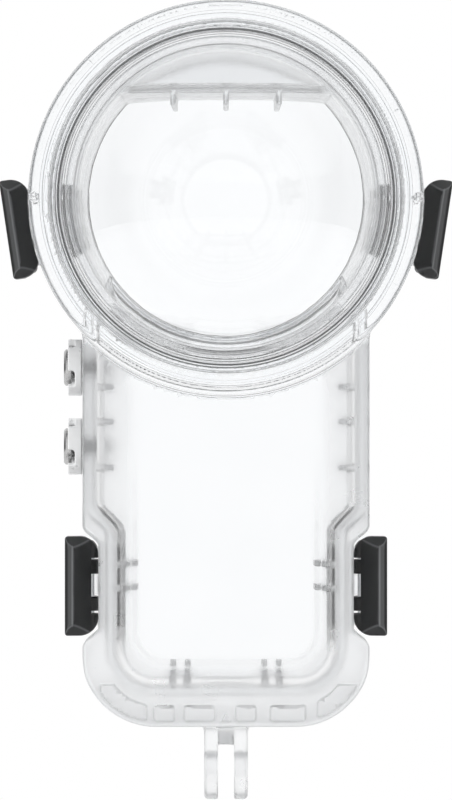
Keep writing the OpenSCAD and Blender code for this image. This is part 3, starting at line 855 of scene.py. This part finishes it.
def build_buttons():
    """The two buttons: cap with its stem, collar, clip, o-ring and return spring."""
    cap = rounded([(0, 33.32), (2.6, 33.32), (2.9, 33.5, 0.15), (3.35, 33.5, 0.2), (3.78, 33.1, 0.2),
                   (3.78, 31.94, 0.1), (1.22, 31.94, 0.1), (1.22, 26.34, 0.05), (1.12, 26.28, 0.03),
                   (1.12, 25.66, 0.03), (1.22, 25.6, 0.05), (1.22, 23.7, 0.1), (0.9, 23.42, 0.1),
                   (0, 23.42)], 0.1, closed=False)
    collar = surface(collar_field, (-6.3, -6.3, 29.3), (6.3, 6.3, 33.1), FINE, FINE_ADAPT)
    clip = surface(clip_field, (-3.2, -3.2, 25.4), (3.2, 3.2, 26.6), CLIP_FINE, FINE_ADAPT)
    for b in BUTTON_Z:
        points, faces = lathe(cap, 96, closed=False)
        obj = add_mesh(b + "_cap", on_button(points, b), faces)
        finish_piece(even_normals(obj), CAP, b, [b + "_plunger"], "steel")
        centre = on_button(np.zeros((1, 3)), b)
        for name, (p, f, n), mat, body, old, slot in (
                ("_guard", collar, COLLAR, "main_half", "_collar", "collar_plastic"),
                ("_e_clip", clip, STEEL, b, "_clip", "steel")):
            obj = add_mesh(b + name, on_button(p, b), f, on_button(n, b) - centre)
            finish_piece(obj, mat, body, [b + old], slot)
        turn = np.arange(14) * math.pi / 7
        wire = [(1.67 + 0.40 * math.cos(a), 26.88 + 0.40 * math.sin(a)) for a in turn]
        points, faces = lathe(wire, 64)
        obj = add_mesh(b + "_o_ring", on_button(points, b), faces)
        finish_piece(obj, RUBBER, "main_half", [b + "_seal"], "button_rubber")
        points, faces = spring_mesh()
        obj = add_mesh(b + "_coil", on_button(points, b), faces)
        finish_piece(obj, STEEL, "main_half", [b + "_spring"], "steel")
        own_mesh(obj)


# ---------------------------------------------------------------- stage
def build_stage():
    """Camera, studio, floor and two lamps."""
    scene = bpy.context.scene
    camera = bpy.data.cameras.new("camera")
    eye = bpy.data.objects.new("camera", camera)
    scene.collection.objects.link(eye)
    distance, tall = 2.2, 0.1648
    camera.sensor_width = 36
    camera.lens = 36 * distance / tall
    eye.location = (0, -distance, 0.0752)
    eye.rotation_euler = (math.pi / 2, 0, 0)
    scene.camera = eye

    world = bpy.data.worlds.new("studio")
    scene.world = world
    world.use_nodes = True
    tree = world.node_tree
    tree.nodes.clear()
    where = tree.nodes.new("ShaderNodeTexCoord")
    split = tree.nodes.new("ShaderNodeSeparateXYZ")
    tree.links.new(where.outputs["Generated"], split.inputs[0])
    depth = node(tree, "ShaderNodeMath", operation="ABSOLUTE")
    tree.links.new(split.outputs["Y"], depth.inputs[0])
    high = node(tree, "ShaderNodeMapRange")
    for key, value in (("From Min", 0.15), ("From Max", 0.85), ("To Min", 0.0), ("To Max", 0.75)):
        high.inputs[key].default_value = value
    tree.links.new(split.outputs["Z"], high.inputs["Value"])
    shades = [shade(tree, depth.outputs[0], high.outputs["Result"], stops)
              for stops in (THROUGH_SKY, MIRROR_SKY)]
    path = tree.nodes.new("ShaderNodeLightPath")
    plain = node(tree, "ShaderNodeBackground", Strength=1.0)
    plain.inputs["Color"].default_value = (1, 1, 1, 1)
    mirrored = node(tree, "ShaderNodeMath", operation="SUBTRACT", use_clamp=True)
    tree.links.new(path.outputs["Is Glossy Ray"], mirrored.inputs[0])
    tree.links.new(path.outputs["Is Transmission Ray"], mirrored.inputs[1])
    either = tree.nodes.new("ShaderNodeMixShader")
    tree.links.new(mirrored.outputs[0], either.inputs[0])
    tree.links.new(shades[0], either.inputs[1])
    tree.links.new(shades[1], either.inputs[2])
    mix = tree.nodes.new("ShaderNodeMixShader")
    tree.links.new(path.outputs["Is Camera Ray"], mix.inputs[0])
    tree.links.new(either.outputs[0], mix.inputs[1])
    tree.links.new(plain.outputs[0], mix.inputs[2])
    out = tree.nodes.new("ShaderNodeOutputWorld")
    tree.links.new(mix.outputs[0], out.inputs["Surface"])

    disc = [(0, 0), (300, 0), (600, 0), (900, 0), (900, -2), (0, -2)]
    points, faces = lathe(disc, 96, closed=False)
    floor = add_mesh("floor", points + np.array([0, 0, FLOOR_Z]), faces)
    floor.data.materials.append(material("pale_floor", floor_paint))

    for name, at, size, power in (("key", (-0.55, -0.9, 0.75), 0.5, 5.0),
                                  ("fill", (0.7, -0.6, 0.5), 0.6, 2.0)):
        light = bpy.data.lights.new(name, "AREA")
        light.energy, light.size = power, size
        lamp = bpy.data.objects.new(name, light)
        scene.collection.objects.link(lamp)
        lamp.location = at
        lamp.rotation_euler = (Vector((0, 0, 0.08)) - Vector(at)).to_track_quat("-Z", "Y").to_euler()
        lamp.visible_camera = lamp.visible_glossy = lamp.visible_transmission = False

    scene.view_settings.view_transform = "Standard"
    scene.view_settings.look = "None"
    c = scene.cycles
    c.max_bounces, c.transmission_bounces, c.glossy_bounces, c.diffuse_bounces = 32, 32, 12, 4
    c.transparent_max_bounces = 16
    c.sample_clamp_indirect = 3.0


def shade(tree, depth, high, stops):
    """One grading of the studio: dark at the sides, lighter above and white in front and behind."""
    ramp = tree.nodes.new("ShaderNodeValToRGB")
    ramp.color_ramp.elements[0].position = stops[0][0]
    ramp.color_ramp.elements[1].position = stops[-1][0]
    for at, _ in stops[1:-1]:
        ramp.color_ramp.elements.new(at)
    for e, (_, v) in zip(ramp.color_ramp.elements, stops):
        e.color = (v, v * 1.003, v * 1.006, 1)
    tree.links.new(depth, ramp.inputs["Fac"])
    sky = node(tree, "ShaderNodeMix", data_type="RGBA")
    sky.inputs["B"].default_value = (1, 1, 1, 1)
    tree.links.new(high, sky.inputs["Factor"])
    tree.links.new(ramp.outputs["Color"], sky.inputs["A"])
    soft = node(tree, "ShaderNodeBackground", Strength=1.0)
    tree.links.new(sky.outputs["Result"], soft.inputs["Color"])
    return soft.outputs[0]


def floor_paint(tree, s):
    """A pale, even floor."""
    tint(tree, noise(tree, 8, 3), (0.90, 0.90, 0.90), (0.93, 0.93, 0.93), s.inputs["Base Color"])
    s.inputs["Roughness"].default_value = 0.8


build_stage()
build_shells()
for half, side, body in (("rear", 1, "main_half"), ("front", -1, "cover")):
    build_dome(half, side, body)
build_main_seal()
build_latches()
build_buttons()
